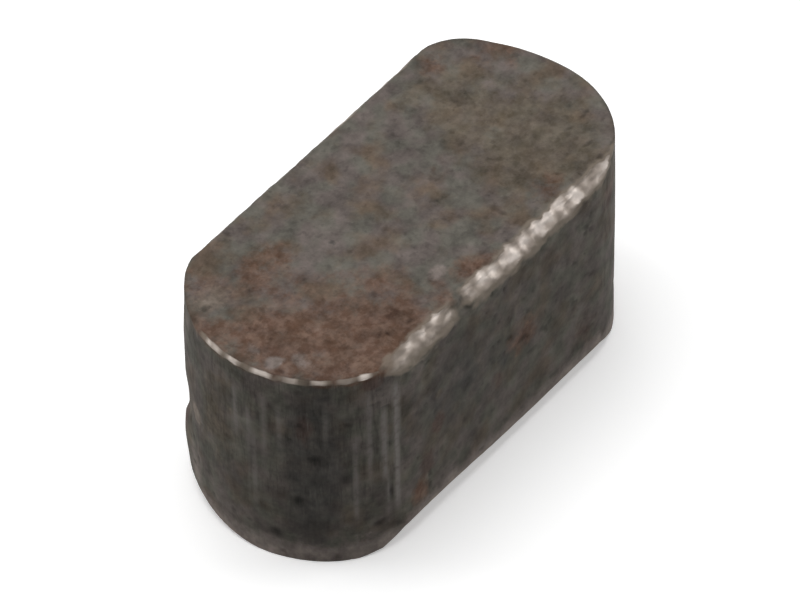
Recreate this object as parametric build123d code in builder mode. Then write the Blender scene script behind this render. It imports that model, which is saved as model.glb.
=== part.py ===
"""Parallel key with round ends: a short block of drawn square key steel.

It lies half in a keyway milled into a shaft and half in the groove of the hub on
that shaft, and carries the torque between them on its two long flanks.

Frame: millimetres, +Z up. The origin is at the centre of the face that sits on the
floor of the shaft's keyway, and +X runs along the key.

The steps below follow the making of the real one:
  1. key steel is drawn to a square bar with its four long edges chamfered;
  2. its ends are milled round from above, so their walls are upright, and the sharp
     rims that the cutter leaves are broken by tumbling;
  3. what is left of the bar is the key: the bar's chamfers run on into the curve of
     each end and leave its wall in a long point.
"""

import os

from build123d import *

# Driving dimensions
width = 5.0  # across the flanks, the size that keyways are cut to
height = 5.0  # from the seat to the crown: key steel is square up to 6 mm
length = 10.0  # over the two rounded ends
chamfer_on_face = 0.26  # what the bar's long chamfers take off the seat and the crown
chamfer_on_flank = 0.36  # and off the flanks, which makes them steeper than 45 degrees
end_radius = 2.75  # of the middle of an end, a little over half the width
corner_radius = 2.2  # blends the middle of an end into the flanks
rim_break = 0.05  # each leg of the small bevel round the rims of the ends

half_width = width / 2
tip_x = length / 2

# Where an end's arc would cross the flanks' planes if nothing blended the two
end_centre_x = tip_x - end_radius
crossing_x = end_centre_x + (end_radius**2 - half_width**2) ** 0.5

# 1. The drawn bar, along X: a quarter of its square section, with the chamfer of one
# corner, and the mirror images that make it whole
bar_end = Plane(origin=(-tip_x, 0, height / 2), x_dir=(0, 1, 0), z_dir=(1, 0, 0))
with BuildPart() as bar:
    with BuildSketch(bar_end):
        with BuildLine():
            Polyline(
                (0, height / 2),
                (half_width - chamfer_on_face, height / 2),
                (half_width, height / 2 - chamfer_on_flank),
                (half_width, 0),
            )
            mirror(about=Plane.XZ)
            mirror(about=Plane.YZ)
        make_face()
    extrude(amount=length)

with BuildPart() as parallel_key:
    # 2. What the cutter leaves between the two ends, seen from above: half of the
    # outline and its mirror image, with the corners blended
    with BuildSketch() as plan:
        with BuildLine():
            Line((0, half_width), (crossing_x, half_width))
            ThreePointArc((crossing_x, half_width), (tip_x, 0), (crossing_x, -half_width))
            Line((crossing_x, -half_width), (0, -half_width))
            mirror(about=Plane.YZ)
        make_face()
        corners = [vertex for vertex in plan.vertices() if abs(vertex.X) > end_centre_x]
        fillet(corners, corner_radius)
    extrude(amount=height)
    seat_and_crown = parallel_key.faces().filter_by(Axis.Z)
    chamfer(seat_and_crown.edges(), rim_break)

    # 3. The part of it that lies inside the drawn bar
    add(bar.part, mode=Mode.INTERSECT)

parallel_key.part.label = "parallel_key"

os.makedirs("parts", exist_ok=True)
export_step(parallel_key.part, "parts/parallel_key.step")

print("solids", len(parallel_key.solids()), "faces", len(parallel_key.faces()))
print("size in mm", parallel_key.part.bounding_box().size)
print("volume in mm3", round(parallel_key.part.volume, 2))
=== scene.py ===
# %% [markdown]
# # A worn parallel key, dressed on its CAD solid
#
# A parallel key is a short block of drawn key steel. It sits half in a shaft and half in the hub on that
# shaft, and turns the one with the other. This one has lain about: its faces are dark with oxide and
# stained with rust, and its upper edges are knocked bright.
#
# The CAD solid gives the size and the true edges. This lesson lays a finer skin over it: one closed
# surface, worked out with numpy, that carries the pits, the cutter's marks and the beaten edges, and one
# material that reads what each point of the skin knows about itself.

# %% Load the frame and measure the key
import math

import bmesh
import bpy
import numpy as np
from mathutils import Matrix, Vector


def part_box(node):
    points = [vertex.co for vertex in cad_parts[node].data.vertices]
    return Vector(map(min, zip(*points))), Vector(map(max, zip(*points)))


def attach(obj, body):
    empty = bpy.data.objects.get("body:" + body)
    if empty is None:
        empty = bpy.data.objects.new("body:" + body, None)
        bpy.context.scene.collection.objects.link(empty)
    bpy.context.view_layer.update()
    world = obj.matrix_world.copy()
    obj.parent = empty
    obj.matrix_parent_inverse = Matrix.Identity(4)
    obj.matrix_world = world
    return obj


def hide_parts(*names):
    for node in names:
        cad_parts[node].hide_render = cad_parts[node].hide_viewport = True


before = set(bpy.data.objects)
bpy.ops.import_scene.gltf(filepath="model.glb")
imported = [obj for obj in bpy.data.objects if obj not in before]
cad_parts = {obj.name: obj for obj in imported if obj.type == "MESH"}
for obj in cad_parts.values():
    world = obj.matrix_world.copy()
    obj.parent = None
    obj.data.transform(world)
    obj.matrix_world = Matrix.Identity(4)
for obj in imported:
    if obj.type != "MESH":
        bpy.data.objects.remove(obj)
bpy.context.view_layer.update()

MM = 0.001
low, high = (np.array(corner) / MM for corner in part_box("parallel_key"))
length, width, height = high - low
print(f"key steel {width:.2f} x {height:.2f} mm, {length:.2f} mm long")

# %% [markdown]
# ## The outline
#
# Seen from above the key is a strip with two rounded ends. Each end was milled in three arcs that run
# into one another without a corner: a wide one over the tip and a tighter one on each side, which joins
# the flank. A quarter of that outline and its mirror images make the whole, so the points on one flank
# lie exactly opposite those on the other.

# %% The outline as a row of points
END_RADIUS = 0.55 * width
CORNER_RADIUS = 0.44 * width
half_width, tip_x = width / 2, length / 2
end_centre_x = tip_x - END_RADIUS
corner_centre_y = half_width - CORNER_RADIUS
corner_centre_x = end_centre_x + math.sqrt((END_RADIUS - CORNER_RADIUS) ** 2 - corner_centre_y**2)
joint_angle = math.atan2(corner_centre_y, corner_centre_x - end_centre_x)


def quarter_outline(spacing=0.05):
    """Points from the middle of a flank to the tip of an end, with their outward directions.

    A straight at y = half the width, then an arc about the corner's centre from 90 degrees down to the
    angle where the arcs join, then an arc about the end's centre from there down to 0.
    """
    straight = np.linspace(0, corner_centre_x, round(corner_centre_x / spacing), endpoint=False)
    corner_length = CORNER_RADIUS * (math.pi / 2 - joint_angle)
    corner = np.linspace(math.pi / 2, joint_angle, round(corner_length / spacing), endpoint=False)
    end = np.linspace(joint_angle, 0, round(END_RADIUS * joint_angle / spacing) + 1)
    x = [
        straight,
        corner_centre_x + CORNER_RADIUS * np.cos(corner),
        end_centre_x + END_RADIUS * np.cos(end),
    ]
    y = [
        np.full_like(straight, half_width),
        corner_centre_y + CORNER_RADIUS * np.sin(corner),
        END_RADIUS * np.sin(end),
    ]
    angle = np.concatenate([np.full_like(straight, math.pi / 2), corner, end])
    return np.concatenate(x), np.concatenate(y), np.cos(angle), np.sin(angle)


def whole_outline():
    """The closed outline, clockwise seen from above, from the middle of the +Y flank.

    A quarter and its mirror image in y make one half. That half and its mirror image in x make the whole.
    """
    x, y, out_x, out_y = quarter_outline()
    half = np.array([x, y, out_x, out_y])
    half = np.hstack([half, (half * [[1], [-1], [1], [-1]])[:, -2::-1]])
    return np.hstack([half, (half * [[-1], [1], [-1], [1]])[:, -2:0:-1]])


rim_x, rim_y, out_x, out_y = whole_outline()
steps = np.hypot(np.diff(rim_x, append=rim_x[0]), np.diff(rim_y, append=rim_y[0]))
travelled = np.concatenate([[0], np.cumsum(steps)[:-1]])
near_tip = travelled[np.argmin(rim_x)]
print(f"outline of {len(rim_x)} points, {steps.sum():.2f} mm round")

# %% [markdown]
# ## A profile carried round the outline
#
# The skin is one grid. Along one side of it run the points of the outline. Along the other runs a
# profile: from the middle line of the seat out to its rim, up the wall, and from the crown's rim in to
# its middle line. Its points lie closer together near the two rims, because that is where the edges are
# cut.
#
# Two numbers stay with each point of the grid from here on, and make the marks of wear easy to place: how
# far round the outline it lies, measured from the tip of the near end, and how far inside the rim.

# %% The profile and the plain grid
EDGE_ZONE = 0.45


def spaced(span, fine, coarse):
    """Distances from 0 to span: steps of fine inside the edge zone, then even steps of about coarse."""
    edge = np.arange(0, EDGE_ZONE, fine)
    return np.concatenate([edge, np.linspace(EDGE_ZONE, span, round((span - EDGE_ZONE) / coarse))])


crown_inward = spaced(half_width, 0.03, 0.075)
seat_inward = spaced(half_width, 0.04, 0.14)
wall_lower = spaced(height / 2, 0.03, 0.055)
wall_rise = np.concatenate([wall_lower, (height - wall_lower)[-2::-1]])
inward = np.concatenate([seat_inward[::-1], np.zeros(len(wall_rise) - 2), crown_inward])
rise = np.concatenate([np.zeros(len(seat_inward)), wall_rise[1:-1], np.full(len(crown_inward), height)])

toward_rim = 1 - inward / half_width
spine_x = np.clip(rim_x, -end_centre_x, end_centre_x)
x = spine_x[:, None] + toward_rim * (rim_x - spine_x)[:, None]
y = toward_rim * rim_y[:, None]
z = np.broadcast_to(rise, x.shape).copy()
around = np.broadcast_to((travelled - near_tip)[:, None], x.shape)
inside_rim = np.broadcast_to(inward, x.shape)
print(f"grid of {x.shape[0]} by {x.shape[1]} points, {2 * x.size} triangles")

# %% [markdown]
# ## Chance, in smooth lumps
#
# Wear and scale are uneven in lumps of a known size. Lattice noise gives that: a random number sits on
# every corner of a grid of cubes, and a point takes the eased blend of the corners around it. The edge of
# a cube is then the size of a lump, so every use below can say its size in millimetres.

# %% Noise on whole arrays, and two ways to fade
SHUFFLE = np.random.default_rng(7).permutation(256)
VALUES = np.random.default_rng(8).random(256)


def lattice_noise(cell, seed, *coordinates):
    """Values from 0 to 1 that change smoothly over lumps of size cell, for 1, 2 or 3 coordinates.

    Each coordinate is cut into cells. Every corner of the point's cell gets a random value, picked by a
    shuffled table, and the values are blended with the weights t * t * (3 - 2 * t) along each axis.
    """
    cells = [np.floor(c / cell).astype(int) for c in coordinates]
    shares = [c / cell - k for c, k in zip(coordinates, cells)]
    eased = [t * t * (3 - 2 * t) for t in shares]
    total = 0.0
    for corner in range(2 ** len(coordinates)):
        index, weight = seed, 1.0
        for axis, (k, t) in enumerate(zip(cells, eased)):
            step = corner >> axis & 1
            index = SHUFFLE[(index + k + step) & 255]
            weight = weight * (t if step else 1 - t)
        total = total + VALUES[index] * weight
    return total


def layered_noise(cell, seed, *coordinates, layers=3):
    """The sum of noise at cell, cell / 2, cell / 4 and so on, each at half the strength, from 0 to 1."""
    strengths = [0.5**k for k in range(layers)]
    parts = [s * lattice_noise(cell * s, seed + 31 * k, *coordinates) for k, s in enumerate(strengths)]
    return sum(parts) / sum(strengths)


def ease(value, start, end):
    """0 up to start, 1 from end on, and a smooth rise between them."""
    t = np.clip((value - start) / (end - start), 0, 1)
    return t * t * (3 - 2 * t)


def mound(centre, reach, *coordinates):
    """1 at centre, fading smoothly to 0 at an ellipse with the half axes reach."""
    squared = sum(((c - middle) / r) ** 2 for c, middle, r in zip(coordinates, centre, reach))
    return 1 - ease(np.sqrt(squared), 0, 1)


print(f"{VALUES.size} random values from {VALUES.min():.2f} to {VALUES.max():.2f}")

# %% [markdown]
# ## Relief: what lies below the true faces
#
# Every mark is a depth, measured inwards from the true face. There are three kinds. Scale leaves shallow
# lumps all over, and pits where rust has eaten in. The cutter that rounded the ends left upright flutes.
# And knocks left a gouge and a rubbed corner on the near end, and a dent low on the far one.
#
# Two things stand out instead. Steel that a knock pushes aside makes a burr below the gouge, and the
# cutter left the far end a hair too full at both its corners. Their heights are taken off the depth.

# %% Scale and pits
SCALE_DEPTH = 0.009
PIT_DEPTH = 0.022
pit_fields = ease(layered_noise(1.3, 11, x, y, z), 0.35, 0.65)
pits = 0.6 * ease(layered_noise(0.18, 12, x, y, z, layers=2), 0.66, 0.82) * pit_fields
PIT_PLACES = (
    # around, height, across, tall
    (-1.6, 2.87, 0.27, 0.2),
    (-2.18, 2.27, 0.22, 0.3),
    (-1.25, 1.69, 0.16, 0.2),
    (-0.78, 0.67, 0.22, 0.2),
    (-2.81, 0.82, 0.22, 0.15),
    (-3.09, 1.58, 0.1, 0.35),
)
for pit_around, pit_height, across, tall in PIT_PLACES:
    pits = np.maximum(pits, mound((pit_around, pit_height), (across, tall), around, z) * (inside_rim == 0))
scale_depth = SCALE_DEPTH * layered_noise(0.55, 13, x, y, z) + PIT_DEPTH * pits
print(f"{(pits > 0.5).mean():.1%} of the points lie in a pit")

# %% The cutter's flutes
FLUTE_DEPTH = 0.009
FLUTE_BREADTH = 0.13
on_end = ease(np.abs(rim_x), 3.02, 3.12)[:, None] * np.ones_like(x)
flute_fade = 0.35 + 0.65 * layered_noise(1.6, 15, around, z, layers=2)
flutes = layered_noise(FLUTE_BREADTH, 14, around, z / 30, layers=2) * flute_fade * on_end
print(f"flutes on {on_end.mean():.0%} of the points, {FLUTE_BREADTH} mm broad")

# %% Knocks
GOUGE_DEPTH = 0.05
GOUGE_AROUND = 2.28
GOUGE_SLOPE = 0.7
DENT_DEPTH = 0.055
RUBBED_DEPTH = 0.045

# The gouge runs aslant round the left of the end, steep on its lower side and gentle on its upper.
down_gouge = z + GOUGE_SLOPE * (around - GOUGE_AROUND)
gouge_floor = ease(down_gouge, 1.5, 1.75) * (1 - ease(down_gouge, 2.0, 2.8))
gouge = gouge_floor * (1 - ease(np.abs(around - 2.5), 0.5, 1.3))

dent = mound((4.1, -2.01, 0.92), (0.5, 0.5, 0.2), x, y, z)
rubbed = mound((2.3, height), (1.6, 1.3), around, z)
knocks = GOUGE_DEPTH * gouge + DENT_DEPTH * dent + RUBBED_DEPTH * rubbed
print(f"knocks up to {1000 * knocks.max():.0f} micrometres deep")

# %% What stands out
BURR_HEIGHT = 0.058
BACK_EXCESS = 0.075
FRONT_EXCESS = 0.02
burr = mound((2.4, 1.1), (1.0, 0.85), around, z)
full_back = mound((-15.2,), (1.0,), around)
full_front = mound((-10.7, 3.6), (1.2, 2.8), around, z)
swellings = BURR_HEIGHT * burr + BACK_EXCESS * full_back + FRONT_EXCESS * full_front
print(f"swellings up to {1000 * swellings.max():.0f} micrometres high")

# %% [markdown]
# A depth on the crown or the seat goes along z, and a depth on the wall goes along the outline's outward
# direction. At the rims both hold, so that the faces stay joined: each fades out round the corner like a
# bell curve a tenth of a millimetre wide.

# %% Sink the faces
CORNER_FADE = 0.1
wall_depth = scale_depth + FLUTE_DEPTH * flutes + knocks - swellings
wall_depth = wall_depth * np.exp(-((inside_rim / CORNER_FADE) ** 2))
crown_depth = scale_depth * np.exp(-(((height - z) / CORNER_FADE) ** 2))
seat_depth = scale_depth * np.exp(-((z / CORNER_FADE) ** 2))
x = x - out_x[:, None] * wall_depth
y = y - out_y[:, None] * wall_depth
z = z - crown_depth + seat_depth
print(f"wall sunk by up to {1000 * wall_depth.max():.0f} micrometres")
print(f"crown sunk by up to {1000 * crown_depth.max():.0f} micrometres")

# %% [markdown]
# ## The cut edges
#
# Two cuts take the corners off. The long chamfers belong to the drawn bar: they are planes, a little
# steeper than 45 degrees, that run straight on through the rounded ends. The small bevels follow the rims
# of the ends. Each cut is made the same way: a point that sticks out past the plane is pushed back onto
# it, along the plane's normal. Knocks have made both uneven, so the size of a cut wavers along it, most
# of all on the upper edge of the front flank.

# %% The bar's long chamfers
CHAMFER_ON_FACE = 0.052 * width
CHAMFER_ON_FLANK = 0.072 * height
side = np.where(y < 0, -1.0, 1.0)
upper = np.where(z > height / 2, 1.0, -1.0)
wander = layered_noise(0.6, 21, x + 40 * side, 40 * upper) - 0.5
beaten = layered_noise(0.14, 22, x, y, z, layers=2) - 0.5
knocked = np.where((side < 0) & (upper > 0), 1.0, np.where(upper > 0, 0.25, 0.08))

# The chamfer's size as a share of the drawn one. It is less where the chamfer runs out in the round ends
# and high on the back flank's near half, and more low on the front flank's near half.
growth = 0.93 + 0.1 * knocked + knocked * (0.3 * wander + 0.5 * beaten)
growth = growth - 0.12 * ease(np.abs(x), 3.0, 3.4)
growth = growth + 0.25 * mound((-2.2,), (2.8,), x) * ((side < 0) & (upper < 0))
growth = growth - 0.1 * ease(-x, -0.5, 1.5) * ((side > 0) & (upper > 0))

face_leg, flank_leg = CHAMFER_ON_FACE * growth, CHAMFER_ON_FLANK * growth
slope = np.hypot(1 / face_leg, 1 / flank_leg)
beyond = (np.abs(y) - half_width) / face_leg + (np.abs(z - height / 2) - height / 2) / flank_leg + 1
past_chamfer = beyond / slope
softness = np.where(inside_rim > 0, 0.006, 0.02)
push = softness * np.logaddexp(0, past_chamfer / softness) / slope
y = y - side * push / face_leg
z = z - upper * push / flank_leg
print(f"chamfers take {face_leg.mean():.2f} mm off the faces and {flank_leg.mean():.2f} mm off the flanks")

# %% Wear on the rims
RIM_BREAK = 0.005 * width
LOW_WEAR = 0.43
RIM_WEAR = (
    # around, height of the rim, half the length, how much it adds
    (2.5, 0, 0.9, 0.08),
    (-2.85, 0, 0.5, 0.08),
    (3.1, height, 0.7, 0.1),
    (-13.3, height, 1.9, 0.11),
)
near_top = (1 - ease(np.abs(around + 0.7), 1.9, 2.5)) * (upper > 0)
worn_low = ease(around, -0.6, 2.2) * (1 - ease(around, 2.4, 3.3)) * (upper < 0)
bevel_size = RIM_BREAK * (0.5 + 0.6 * layered_noise(0.35, 23, around, 40 * upper))
bevel_size = bevel_size + near_top * (0.06 + 0.04 * beaten) + LOW_WEAR * worn_low
for rim_around, rim_height, half_length, extra in RIM_WEAR:
    bevel_size = bevel_size + extra * mound((rim_around, rim_height), (half_length, 1), around, z)
print(f"rims broken by {bevel_size.min():.2f} to {bevel_size.max():.2f} mm")

# %% The rims' bevels
gap_to_rim = (rim_x[:, None] - x) * out_x[:, None] + (rim_y[:, None] - y) * out_y[:, None] + swellings
gap_to_face = height / 2 - np.abs(z - height / 2)
round_end = np.abs(rim_x[:, None]) > corner_centre_x
past_bevel = np.where(round_end, bevel_size - gap_to_rim - gap_to_face, -1)
push = np.maximum(past_bevel, 0) / 2
x = x - out_x[:, None] * push
y = y - out_y[:, None] * push
z = z - upper * push
cut_edge = ease(np.maximum(past_chamfer, past_bevel), -0.02, 0.03)
print(f"{(cut_edge > 0.5).mean():.0%} of the points lie on a cut edge")

# %% [markdown]
# ## What the skin knows about itself
#
# The material has to know where it is on the key: on the crown, on a milled end, in a pit. It also has to
# know what this key has been through: which stretches of edge were knocked bright, where the cutter left
# a shining line, and where water stood and rusted it. These are numbers on the points of the skin, and
# the material reads them by name. A pattern painted this way sits fast on the steel, whatever way the key
# is turned.

# %% Places of the knocks on the front edge
FRONT_KNOCKS = (
    # along, how far down the chamfer, half the length, half the drop, strength
    (-2.88, 0.55, 0.30, 0.55, 0.55),
    (-2.62, 0.30, 0.26, 0.40, 0.68),
    (-2.29, 0.18, 0.16, 0.35, 0.80),
    (-2.10, 0.60, 0.28, 0.45, 0.60),
    (-1.80, 0.15, 0.26, 0.30, 0.82),
    (-1.48, 0.62, 0.30, 0.30, 0.65),
    (-0.91, 0.28, 0.20, 0.40, 0.70),
    (-0.82, 0.60, 0.16, 0.35, 0.70),
    (-0.45, 0.30, 0.20, 0.45, 0.95),
    (-0.14, 0.42, 0.24, 0.50, 0.90),
    (0.22, 0.35, 0.24, 0.50, 0.80),
    (0.42, 0.55, 0.24, 0.65, 1.10),
    (0.83, 0.43, 0.20, 0.50, 0.95),
    (1.28, 0.40, 0.30, 0.55, 1.05),
    (1.58, 0.30, 0.28, 0.45, 1.00),
    (1.94, 0.20, 0.22, 0.40, 0.95),
    (2.12, 0.75, 0.30, 0.40, 0.85),
    (2.38, 0.45, 0.22, 0.55, 1.15),
    (2.75, 0.45, 0.22, 0.45, 0.60),
    (3.10, 0.57, 0.30, 0.45, 0.70),
    (3.40, 0.45, 0.28, 0.60, 0.90),
    (3.80, 0.40, 0.30, 0.60, 0.60),
)
print(f"{len(FRONT_KNOCKS)} knocks")

# %% The front edge, knocked bright
SPREAD = 1.6
down_chamfer = (height - z) / CHAMFER_ON_FLANK
front_chamfer = ease(past_chamfer + 0.1 * beaten, -0.04, 0.03) * (side < 0) * (upper > 0)
knocks_seen = np.zeros_like(x)
for along, down, half_length, half_drop, strength in FRONT_KNOCKS:
    knock = mound((along, down), (SPREAD * half_length, SPREAD * half_drop), x, down_chamfer)
    knocks_seen = np.maximum(knocks_seen, strength * knock)
front_reach = ease(x, -3.8, -3.1) * (1 - ease(x, 3.9, 4.4))

# One stretch of the edge escaped. The gap in the bright metal is wider low down.
gap_above = mound((-1.2,), (0.34,), x)
gap_below = mound((-1.1,), (0.7,), x) * ease(down_chamfer, 0.55, 0.85)
gap = np.maximum(gap_above, gap_below)

dull_low = ease(down_chamfer + 0.5 * beaten, 0.55, 1.1)
bright = front_chamfer * front_reach * (0.35 + 0.65 * knocks_seen)
bright = bright * (1 - 0.9 * gap) * (1 - 0.5 * dull_low)
about_front = ease(past_chamfer, -0.14, 0.06) * (side < 0) * (upper > 0)
thin = about_front * front_reach * (1 - 0.85 * gap)
print(f"{(bright > 0.5).sum()} points are bare on the front edge")

# %% Dashes along the near rim
RIM_DASHES = (
    # first and last place round the outline, strength
    (-3.20, -2.84, 0.50),
    (-2.76, -2.45, 0.95),
    (-2.40, -1.94, 0.52),
    (-1.86, -1.52, 0.75),
    (-1.31, -0.99, 0.72),
    (-0.81, -0.34, 0.88),
    (-0.11, 0.24, 0.76),
    (0.35, 0.84, 0.68),
)
DASH_END = 0.12
over_rim = 0.05 * (inside_rim == 0)
top_rim = ease(past_bevel + over_rim, -0.01, 0.03) * (upper > 0)
for start, end, strength in RIM_DASHES:
    past_start = ease(around, start - DASH_END, start + DASH_END)
    before_end = 1 - ease(around, end - DASH_END, end + DASH_END)
    bright = np.maximum(bright, strength * top_rim * past_start * before_end)
near_rim = top_rim * (1 - ease(np.abs(around + 1.1), 2.0, 2.4))
thin = np.maximum(thin, 0.55 * near_rim)
print(f"{len(RIM_DASHES)} dashes on the near rim")

# %% Faint wear on the other edges
patchy = cut_edge * (upper > 0) * ease(layered_noise(0.6, 31, x, y, z), 0.42, 0.66)
thin = np.maximum(thin, patchy * (0.4 * ease(x + y, 2.0, 4.0) + 0.5 * ease(y, 1.7, 2.2)))
back_glints = patchy * ease(y, 1.7, 2.2) * ease(layered_noise(0.2, 33, x, y, z), 0.45, 0.7)
bright = np.maximum(bright, 0.75 * back_glints)
print(f"{(thin > 0.4).sum()} points are rubbed thin")

# %% The low rim, painted pale with light from the paper
# Painted light from the paper below: the pale band fades out 0.75 mm up the ends and 0.92 mm up the flanks.
painted_floor_light = 1 - ease(z - 0.3 * (1 - on_end), 0.05 * on_end, 0.62 + 0.13 * on_end)
painted_floor_light = painted_floor_light * (1 - ease(inside_rim, 0.1, 0.6))
# Painted light: a pale patch below the gouge, on the side that faces the left lamp.
below_gouge = mound((1.45, 0.95), (0.55, 0.85), around, z)
painted_floor_light = np.maximum(painted_floor_light, 0.65 * below_gouge)
print(f"{(painted_floor_light > 0.4).sum()} points are rubbed pale")

# %% Lines that the cutter left on the near end, lightened as painted sheen
CUTTER_LINES = (
    # around, half the breadth, lowest, highest, strength
    (0.04, 0.05, 3.1, 4.3, 0.6),
    (-0.26, 0.05, 2.6, 3.9, 0.5),
    (-0.37, 0.04, 1.2, 3.2, 0.4),
    (-0.6, 0.05, 2.8, 4.3, 0.45),
    (-0.91, 0.05, 3.0, 4.2, 0.45),
    (-1.81, 0.04, 3.2, 4.3, 0.35),
    (-2.36, 0.05, 1.1, 3.3, 0.6),
    (-2.65, 0.05, 2.2, 4.45, 0.6),
    (-2.96, 0.06, 2.0, 3.9, 0.85),
    (-3.03, 0.04, 1.1, 2.3, 0.5),
    (-3.24, 0.055, 1.1, 4.45, 1.0),
    (-3.31, 0.04, 2.9, 4.3, 0.5),
)
shine = np.zeros_like(x)
for line_around, half_breadth, lowest, highest, strength in CUTTER_LINES:
    across = 1 - ease(np.abs(around - line_around), 0, 2 * half_breadth)
    along = ease(z, lowest - 0.3, lowest + 0.3) * (1 - ease(z, highest - 0.2, highest + 0.2))
    shine = np.maximum(shine, strength * across * along * on_end)
print(f"{len(CUTTER_LINES)} lines on {(shine > 0.2).sum()} points")

# %% Stains, with some painted shade and a painted highlight among them
STAINS = {
    # centre, reach and strength of each patch
    "rust": (
        ((-3.0, -1.9, height), (2.6, 2.9, 0.3), 1.0),
        ((-4.2, -0.4, height), (1.5, 1.9, 0.3), 0.9),
        ((-4.8, 0.9, height), (0.7, 1.4, 0.3), 0.7),
        ((-2.9, 1.0, height), (1.3, 0.9, 0.3), 0.65),
        ((-3.9, 1.7, height), (0.9, 0.8, 0.3), 0.5),
        ((-0.4, -2.0, height), (0.65, 0.45, 0.6), 0.9),
        ((0.1, -2.15, height), (0.5, 0.25, 0.5), 0.5),
        ((1.2, 0.14, height), (0.3, 0.25, 0.5), 0.5),
        ((2.15, -1.85, height), (0.7, 0.5, 0.5), 0.6),
        ((3.4, 1.9, height), (0.5, 0.5, 0.5), 0.5),
        ((0.55, -half_width, 2.65), (0.75, 0.4, 0.7), 0.6),
        ((-2.6, -half_width, 1.0), (0.45, 0.3, 0.6), 0.7),
        ((1.5, half_width, 3.2), (1.6, 0.5, 1.3), 0.8),
        ((4.6, 1.2, 4.2), (1.1, 1.3, 1.6), 0.8),
        ((-1.0, 0.8, 0.0), (2.4, 1.9, 1.0), 0.9),
    ),
    "red": (
        ((-2.05, -half_width, 2.4), (0.35, 0.3, 0.5), 0.9),
        ((-2.4, -half_width, 1.6), (0.4, 0.3, 0.7), 0.8),
        ((-0.2, -half_width, 2.1), (0.5, 0.3, 0.6), 0.5),
        ((2.5, -half_width, 1.2), (0.8, 0.3, 0.9), 0.5),
        ((3.5, -2.3, 4.0), (0.6, 0.5, 0.8), 0.7),
        # Painted shadow: this reddish-dark patch sits just under the near end's top rim, by the front
        # flank.
        ((-3.72, -2.25, 4.72), (0.4, 0.35, 0.3), 1.0),
        ((-4.63, -1.35, 3.7), (0.4, 0.4, 0.9), 0.6),
        ((-4.1, 2.0, 1.6), (0.6, 0.6, 1.6), 0.8),
        ((0.3, half_width, 2.6), (0.7, 0.4, 1.0), 0.8),
    ),
    "olive": (
        ((2.9, -1.0, height), (2.2, 2.4, 0.3), 1.0),
        ((3.0, 1.0, height), (1.6, 1.5, 0.3), 0.7),
        ((-1.2, 1.6, height), (0.8, 0.5, 1.0), 0.5),
        ((-2.6, 1.2, height), (1.0, 0.8, 1.0), 0.6),
        ((-2.0, -half_width, 3.2), (0.22, 0.3, 0.2), 0.9),
        ((-1.5, -half_width, 2.4), (0.3, 0.3, 0.25), 0.7),
        ((-4.9, 0.5, 3.0), (0.4, 0.8, 2.4), 0.5),
        ((-2.9, -2.35, 4.9), (0.3, 0.2, 0.2), 0.8),
    ),
    "pale": (
        ((-4.6, -0.6, height), (0.35, 0.3, 0.2), 0.8),
        ((-4.55, -0.1, height), (0.3, 0.4, 0.2), 0.5),
        ((-4.25, -1.1, height), (0.4, 0.6, 0.2), 0.4),
        ((-0.9, -1.6, height), (0.4, 0.3, 0.2), 0.6),
        ((-3.9, -2.1, 0.65), (0.6, 0.5, 0.4), 0.4),
    ),
    "pale_patches_and_lip_highlight": (
        # Painted highlight: light caught on the lip of the gouge.
        ((-4.69, 1.28, 2.45), (0.4, 0.4, 0.4), 1.0),
        ((-4.1, 1.35, height), (1.1, 0.8, 0.3), 0.45),
        ((-3.5, 0.3, height), (0.5, 0.3, 0.3), 0.3),
    ),
    "dark": (
        ((-1.4, -half_width, 2.9), (2.7, 0.4, 2.6), 0.5),
        ((-1.06, -half_width, 2.83), (0.4, 0.3, 0.3), 0.9),
        ((-0.04, -half_width, 2.46), (0.25, 0.3, 0.4), 0.8),
        ((-1.49, 0.44, height), (0.12, 0.1, 0.1), 1.0),
        # Partly painted shade: this patch darkens the middle of the near end, where it gets the least
        # light, as well as its own dark oxide.
        ((-4.55, -1.5, 2.6), (0.7, 1.2, 4.0), 1.0),
    ),
}


def gathered(patches):
    """Overlapping patches joined smoothly: 1 minus the product of what each one leaves clean."""
    clean = np.ones_like(x)
    for centre, reach, strength in patches:
        clean = clean * (1 - strength * mound(centre, reach, x, y, z))
    return 1 - clean


stains = {name: gathered(patches) for name, patches in STAINS.items()}
for name, amount in stains.items():
    print(f"{name}: {(amount > 0.3).mean():.1%} of the points")

# %% [markdown]
# ## The mesh
#
# Each square of the grid becomes a face. The last row of the grid joins the first, and the middle lines
# of the crown and the seat close when points that share a place are merged. No point may leave the key's
# box.

# %% Make the mesh
def grid_faces(rows, columns):
    """The corners of each square between neighbouring rows and columns, the last row next to the first.

    The outline runs clockwise seen from above, so a face goes along the profile first and then to the next
    row. That way its corners run anticlockwise seen from outside, and its normal points outward.
    """
    row, column = np.meshgrid(np.arange(rows), np.arange(columns - 1), indexing="ij")
    here = row * columns + column
    after = (row + 1) % rows * columns + column
    return np.stack([here, here + 1, after + 1, after], axis=-1).reshape(-1, 4)


points = np.clip(np.stack([x, y, z], axis=-1).reshape(-1, 3), low, high) * MM
mesh = bpy.data.meshes.new("key_skin")
mesh.from_pydata(points, [], grid_faces(*x.shape))
print(f"{len(mesh.vertices)} points, {len(mesh.polygons)} faces before merging")

# %% Tell its points what they know
knowledge = {
    "around": around,
    "crown": (upper > 0) * ease(inside_rim, 0.0, 0.1),
    "milled": on_end * (1 - ease(inside_rim, 0.0, 0.05)) * (0.3 + 0.7 * ease(z, 0.8, 2.2)),
    "painted_floor_light": painted_floor_light,
    "pit": pits,
    "bright": bright,
    "thin": thin,
    "shine": shine,
    **stains,
}
for name, values in knowledge.items():
    attribute = mesh.attributes.new(name, "FLOAT", "POINT")
    attribute.data.foreach_set("value", values.reshape(-1).astype(np.float32))
print(f"{len(knowledge)} numbers on each point")

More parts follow.
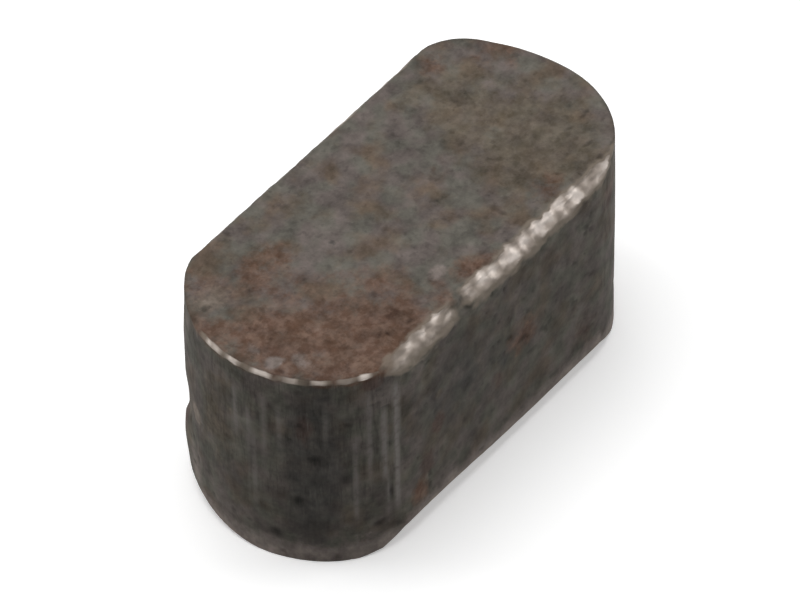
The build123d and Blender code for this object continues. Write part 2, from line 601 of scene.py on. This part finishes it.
# %% Close it and hand it to the frame
MERGE_DISTANCE = 1e-8
bm = bmesh.new()
bm.from_mesh(mesh)
bmesh.ops.remove_doubles(bm, verts=bm.verts, dist=MERGE_DISTANCE)
open_edges = sum(not edge.is_manifold for edge in bm.edges)
inside = bm.calc_volume(signed=True) / MM**3
assert open_edges == 0 and inside > 0
print(f"{open_edges} open edges, {inside:.1f} mm3 inside")
bm.to_mesh(mesh)
bm.free()
mesh.shade_smooth()
key = bpy.data.objects.new("key_skin", mesh)
bpy.context.scene.collection.objects.link(key)
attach(key, "root")
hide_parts("parallel_key")
print(f"{len(mesh.vertices)} points, {len(mesh.polygons)} faces")

# %% [markdown]
# ## Wires: shader maths as expressions
#
# A material is a net of nodes, and a net is tedious to write link by link. The class below wraps one
# output of a node, so that an expression such as `1 - mask * 0.5` adds the nodes that work it out.
# Arithmetic makes Math nodes, which carry numbers. Colours go through Mix, because a Math node would turn
# them grey.

# %% Wires
class Wire:
    """An output of a node. Arithmetic on wires adds Math nodes to their tree."""

    def __init__(self, tree, socket=None):
        self.tree = tree
        self.socket = socket

    def node(self, kind, settings, values, output=0):
        """Adds a node to the tree and returns one of its outputs.

        settings are the node's own properties. They come first, because they decide which sockets it has.
        values go to its sockets, by name or number: a wire is linked, and anything else is a constant.
        """
        made = self.tree.nodes.new(kind)
        for name, value in settings.items():
            setattr(made, name, value)
        for socket, value in values.items():
            if isinstance(value, Wire):
                value.feed(made, socket)
            else:
                made.inputs[socket].default_value = value
        return Wire(self.tree, made.outputs[output])

    def feed(self, node, socket):
        """Links this output to a socket of a node."""
        self.tree.links.new(self.socket, node.inputs[socket])

    def maths(self, operation, first, second):
        """A Math node on two wires or numbers."""
        return self.node("ShaderNodeMath", {"operation": operation}, {0: first, 1: second})

    def __add__(self, other):
        return self.maths("ADD", self, other)

    def __sub__(self, other):
        return self.maths("SUBTRACT", self, other)

    def __rsub__(self, other):
        return self.maths("SUBTRACT", other, self)

    def __mul__(self, other):
        return self.maths("MULTIPLY", self, other)

    __radd__ = __add__
    __rmul__ = __mul__

    def larger(self, other):
        """The larger of this wire and another wire or number."""
        return self.maths("MAXIMUM", self, other)

    def ease(self, start, end):
        """0 at start and 1 at end, with a smooth rise between."""
        settings = {"interpolation_type": "SMOOTHSTEP"}
        values = {"Value": self, "From Min": start, "From Max": end}
        return self.node("ShaderNodeMapRange", settings, values)

    def attribute(self, name):
        """A number that the skin's points carry."""
        return self.node("ShaderNodeAttribute", {"attribute_name": name}, {}, "Fac")

    def noise(self, size, detail=2.0, roughness=0.5, shift=0.0):
        """Noise on this wire's coordinates, with lumps of the given size. shift picks another pattern."""
        moved = self.node("ShaderNodeVectorMath", {"operation": "ADD"}, {0: self, 1: (shift, shift, shift)})
        values = {"Vector": moved, "Scale": 1 / size, "Detail": detail, "Roughness": roughness}
        return self.node("ShaderNodeTexNoise", {}, values, "Fac")


def srgb(red, green, blue):
    """A colour from 0 to 255 as the renderer wants it, in linear light."""
    shares = [c / 255 for c in (red, green, blue)]
    return (*(s / 12.92 if s <= 0.04045 else ((s + 0.055) / 1.055) ** 2.4 for s in shares), 1)


def blend(amount, first, second):
    """first where amount is 0, second where it is 1."""
    return amount.node("ShaderNodeMix", {"data_type": "RGBA"}, {0: amount, 6: first, 7: second}, 2)


def lit(colour, factor):
    """A colour made lighter or darker by a factor."""
    return colour.node("ShaderNodeVectorMath", {"operation": "SCALE"}, {0: colour, "Scale": factor})


# %% [markdown]
# ## The steel
#
# Drawn key steel leaves the mill with a thin oxide, and time turns it into a patchwork: grey with a green
# or a pink cast, brown where damp has been. The walls are darker than the crown: partly their own oxide,
# partly painted shade, since the walls get less of the light that falls from above. Each layer below is
# one of those tones, laid over the last where its mask says. A mask is a stain on the skin with noise
# added before its edge is cut, which breaks the edge up as rust does.

# %% Oxide
steel = bpy.data.materials.new("key_steel_worn")
steel.use_nodes = True
net = Wire(steel.node_tree)
shader = steel.node_tree.nodes["Principled BSDF"]
metres = net.node("ShaderNodeTexCoord", {}, {}, "Object")
place = net.node("ShaderNodeVectorMath", {"operation": "SCALE"}, {0: metres, "Scale": 1 / MM})

hue = place.noise(0.45, detail=1, roughness=0.4, shift=3).ease(0.36, 0.64)
damp = place.noise(0.7, detail=3, roughness=0.5, shift=11).ease(0.45, 0.7)
cloud = place.noise(0.8, detail=2, shift=55)
crown_oxide = blend(hue, srgb(99, 96, 89), srgb(102, 94, 90))
crown_oxide = blend(damp * 0.75, crown_oxide, srgb(98, 83, 69))
# Painted shade, in part: the walls' oxide is a darker copy of the crown's, for the light the walls lack.
wall_oxide_and_shade = blend(hue, srgb(81, 79, 72), srgb(84, 78, 74))
wall_oxide_and_shade = blend(damp * 0.7, wall_oxide_and_shade, srgb(77, 68, 58))
blot = place.noise(0.5, detail=2, roughness=0.6, shift=61).ease(0.55, 0.75)
wall_oxide_and_shade = lit(wall_oxide_and_shade, (0.6 + cloud * 0.9) * (1 - blot * 0.25))
colour = blend(net.attribute("crown"), wall_oxide_and_shade, crown_oxide)
print(f"oxide of {len(steel.node_tree.nodes)} nodes")

# %% Stains over the oxide, some painted shade and highlight, and painted light on the low rim
ragged = place.noise(0.5, detail=5, roughness=0.68, shift=5) - 0.5
fine_tone = place.noise(0.25, detail=3, roughness=0.6, shift=7).ease(0.35, 0.65)


# Some patches laid this way are painted shade or a painted highlight rather than stains.
def stain(colour, name, dark_tone, light_tone, strength, raggedness, softness):
    """Lays a stain over a colour, in a tone that wavers between two, with a broken edge."""
    edge = 0.4 - softness / 2
    amount = (net.attribute(name) + ragged * raggedness).ease(edge, edge + softness)
    amount = amount * net.attribute(name).ease(0.02, 0.2)
    return blend(amount * strength, colour, blend(fine_tone, dark_tone, light_tone))


STAIN_LOOKS = (
    # name, dark tone, light tone, strength, raggedness, softness
    ("olive", srgb(86, 77, 64), srgb(102, 93, 82), 0.75, 2.0, 0.7),
    # The dark tone also paints shade on the middle of the near end.
    ("dark", srgb(58, 57, 55), srgb(69, 66, 63), 0.8, 0.8, 0.6),
    ("rust", srgb(87, 63, 50), srgb(111, 89, 77), 0.85, 2.0, 0.8),
    # The red tone also paints the shadow under the near end's top rim.
    ("red", srgb(68, 52, 47), srgb(82, 68, 62), 0.7, 1.2, 0.4),
    ("pale", srgb(120, 111, 105), srgb(137, 126, 121), 0.85, 1.2, 0.4),
    # This tone paints pale patches on the crown and a painted highlight on the lip of the gouge.
    ("pale_patches_and_lip_highlight", srgb(112, 102, 93), srgb(131, 121, 110), 0.8, 1.2, 0.4),
)
for look in STAIN_LOOKS:
    colour = stain(colour, *look)
# Painted light: the foot of the walls, lit by the paper, is lifted towards a pale pinkish grey.
floor_light_mask = (net.attribute("painted_floor_light") + ragged * 1.5).ease(0.0, 1.0)
floor_light_mask = floor_light_mask * net.attribute("painted_floor_light").ease(0.0, 0.4)
colour = blend(floor_light_mask * 0.85, colour, srgb(133, 123, 117))
print(f"{len(STAIN_LOOKS)} kinds of stain")

# %% Mottling, specks and pits
mottle = place.noise(0.4, detail=4, roughness=0.66, shift=30)
specks = place.noise(0.17, detail=2, shift=9).ease(0.58, 0.7)
colour = blend(specks * (net.attribute("crown") * 0.25 + 0.25), colour, lit(colour, 0.62))
colour = lit(colour, (0.05 + mottle * 1.9) * (1 - net.attribute("pit") * 0.75))
print(f"{len(steel.node_tree.nodes)} nodes with the mottling")

# %% [markdown]
# ## Milled ends and bare metal
#
# The cutter's flutes stand upright on the ends, so their noise runs on the distance round the outline and
# is drawn out eight times along the height. The flutes darken the colour along some runs of that noise and
# lighten it along others: the lighter runs, and the cutter's lines, are painted sheen. Bare metal is a
# metal to the renderer as well: it mirrors the room. It is brightest where the edge was beaten, and thin
# and brownish where it was only rubbed.

# %% Flutes
HEIGHT_SHARE = 0.12
high_up = net.node("ShaderNodeSeparateXYZ", {}, {0: place}, "Z")
drawn_out = high_up * HEIGHT_SHARE
upright = net.node("ShaderNodeCombineXYZ", {}, {0: net.attribute("around"), 1: drawn_out})
flutes_seen = upright.noise(0.085, detail=3, roughness=0.7, shift=2)
light_runs = place.noise(0.8, detail=1, shift=17).ease(0.35, 0.65)
colour = lit(colour, 1 - net.attribute("milled") * (flutes_seen.ease(0.48, 0.7) * 0.3))
# Painted sheen: lighter runs along the flutes, where they would catch the light.
flute_light = (1 - flutes_seen).ease(0.5, 0.7) * light_runs
colour = blend(net.attribute("milled") * flute_light * 0.47, colour, srgb(98, 94, 90))
# Painted sheen: the cutter's lines are real marks, lightened as though they caught the light.
line_break = place.noise(0.14, detail=3, roughness=0.6, shift=23).ease(0.3, 0.6) * 0.5 + 0.5
colour = blend(net.attribute("shine") * line_break, colour, srgb(122, 117, 113))
print(f"{len(steel.node_tree.nodes)} nodes with the flutes")

# %% Bare edges
RUBBED_THIN = srgb(124, 114, 103)
DULL_METAL = srgb(144, 134, 125)
BRIGHT_METAL = srgb(196, 187, 180)
smeared = place.node("ShaderNodeVectorMath", {"operation": "MULTIPLY"}, {0: place, 1: (0.6, 1, 1)})
break_up = smeared.noise(0.17, detail=1, roughness=0.5, shift=21) - 0.5
thin_mask = (net.attribute("thin") + break_up * 1.2).ease(0.15, 0.75)
thin_mask = thin_mask * net.attribute("thin").ease(0.0, 0.2)
worn = (net.attribute("bright") + break_up * 0.45) * net.attribute("bright").ease(0.05, 0.3)
colour = blend(thin_mask * 0.75, colour, RUBBED_THIN)
colour = blend(worn.ease(0.25, 0.65), colour, DULL_METAL)
colour = blend(worn.ease(0.55, 1.1), colour, BRIGHT_METAL)
colour.feed(shader, "Base Color")
bare = (thin_mask * 0.2).larger(worn.ease(0.3, 0.9) * 0.6)
bare.feed(shader, "Metallic")
(0.7 - bare * 0.3).feed(shader, "Roughness")
shader.inputs["Specular IOR Level"].default_value = 0.06
print(f"{len(steel.node_tree.nodes)} nodes with the bare edges")

# %% Grain
GRAIN_HEIGHT = 0.02
grain = place.noise(0.09, detail=3, roughness=0.6, shift=40)
bump_values = {"Strength": 0.22, "Distance": GRAIN_HEIGHT * MM, "Height": grain}
net.node("ShaderNodeBump", {}, bump_values, "Normal").feed(shader, "Normal")
mesh.materials.append(steel)
print(f"steel of {len(steel.node_tree.nodes)} nodes")

# %% [markdown]
# ## Stage
#
# The key lies on white paper. Lit by the lamps alone the paper would come out grey, and more light would
# bleach the key. So the paper gets a glow that only the camera and mirror-like reflections see, which
# lifts it to white, while the light that it throws back onto the key stays that of plain paper. Light
# Path tells the rays apart. The world is treated the same way, and gives the key a tenth of the light that
# it shows.

# %% White paper and a white room
FLOOR_REACH = 400
PAPER_WHITE = 0.95
PAPER_BOUNCE = 0.85
PAPER_GLOW = 0.32
ROOM_LIGHT = 0.1


def seen_directly(net):
    """1 for rays from the camera, mirror reflections and rays through glass, and 0 for all others."""
    kinds = ("Is Camera Ray", "Is Glossy Ray", "Is Transmission Ray")
    camera_ray, glossy_ray, glass_ray = (net.node("ShaderNodeLightPath", {}, {}, kind) for kind in kinds)
    return camera_ray.larger(glossy_ray).larger(glass_ray)


def grey(level):
    """A grey of the given level, in linear light."""
    return (level, level, level, 1)


corners = np.array([(-1, -1, 0), (1, -1, 0), (1, 1, 0), (-1, 1, 0)]) * FLOOR_REACH * MM
floor_mesh = bpy.data.meshes.new("floor")
floor_mesh.from_pydata(corners, [], [(0, 1, 2, 3)])
floor = bpy.data.objects.new("floor", floor_mesh)
bpy.context.scene.collection.objects.link(floor)
print(f"floor {2 * FLOOR_REACH} mm square")

# %% Its paper
paper = bpy.data.materials.new("white_paper")
paper.use_nodes = True
floor_mesh.materials.append(paper)
paper_net = Wire(paper.node_tree)
paper_shader = paper.node_tree.nodes["Principled BSDF"]
paper_seen = seen_directly(paper_net)
blend(paper_seen, grey(PAPER_BOUNCE), grey(PAPER_WHITE)).feed(paper_shader, "Base Color")
blend(paper_seen, grey(0), grey(PAPER_GLOW)).feed(paper_shader, "Emission Color")
paper_shader.inputs["Emission Strength"].default_value = 1.0
paper_shader.inputs["Roughness"].default_value = 1.0
paper_shader.inputs["Specular IOR Level"].default_value = 0.0
print(f"paper of {len(paper.node_tree.nodes)} nodes")

# %% The room
world = bpy.data.worlds.new("studio")
bpy.context.scene.world = world
world.use_nodes = True
background = world.node_tree.nodes["Background"]
background.inputs["Color"].default_value = (1, 1, 1, 1)
(seen_directly(Wire(world.node_tree)) * (1 - ROOM_LIGHT) + ROOM_LIGHT).feed(background, "Strength")
print(f"a room that gives {ROOM_LIGHT:.0%} of its light")

# %% [markdown]
# ## Lamps
#
# A wide soft box hangs overhead and lights the crown. Two more stand low, to the left and to the right of
# the camera's line, and each lights one side of the near end. Between the two the steel turns dark, and
# that is what shows that the end is round. A dark patch painted on the middle of the near end adds
# painted shade there.

# %% Soft boxes
def softbox(name, position, size, power):
    """A square lamp, size on a side, aimed at the middle of the key. Lengths are in millimetres."""
    data = bpy.data.lights.new(name, "AREA")
    data.shape = "SQUARE"
    data.size = size * MM
    data.energy = power
    lamp = bpy.data.objects.new(name, data)
    bpy.context.scene.collection.objects.link(lamp)
    lamp.location = Vector(position) * MM
    lamp.rotation_mode = "QUATERNION"
    aim = Vector((0, 0, height / 2)) * MM - lamp.location
    lamp.rotation_quaternion = aim.to_track_quat("-Z", "Y")
    print(f"{name}: {size} mm, {power} W, {aim.length / MM:.0f} mm away")


softbox("overhead", (0, 40, 250), 220, 0.52)
softbox("left_side", (-100, 215, 80), 120, 0.19)
softbox("right_side", (190, -140, 80), 120, 0.2)

# %% [markdown]
# ## Camera
#
# A long lens from far off, so that the two flanks look almost parallel, and high enough to show the
# crown.

# %% Camera
AZIMUTH, ELEVATION, ROLL = (math.radians(angle) for angle in (-50.96, 46.43, -1.25))
LENS = 384.3
DISTANCE = 163.6
AIM = Vector((-0.055, 0, height / 2 + 0.01))
level = Vector((math.cos(AZIMUTH), math.sin(AZIMUTH), 0))
flat_reach = math.cos(ELEVATION)
back = Vector((math.sin(AZIMUTH) * flat_reach, -math.cos(AZIMUTH) * flat_reach, math.sin(ELEVATION)))
over = back.cross(level)
right = level * math.cos(ROLL) + over * math.sin(ROLL)
up = over * math.cos(ROLL) - level * math.sin(ROLL)
camera_data = bpy.data.cameras.new("camera")
camera_data.lens = LENS
camera_data.clip_start = 10 * MM
camera = bpy.data.objects.new("camera", camera_data)
turn = Matrix((right, up, back)).transposed().to_4x4()
camera.matrix_world = Matrix.Translation((AIM + back * DISTANCE) * MM) @ turn
bpy.context.scene.collection.objects.link(camera)
bpy.context.scene.camera = camera
bpy.context.scene.view_settings.view_transform = "Standard"
print(f"camera {DISTANCE:.0f} mm away")
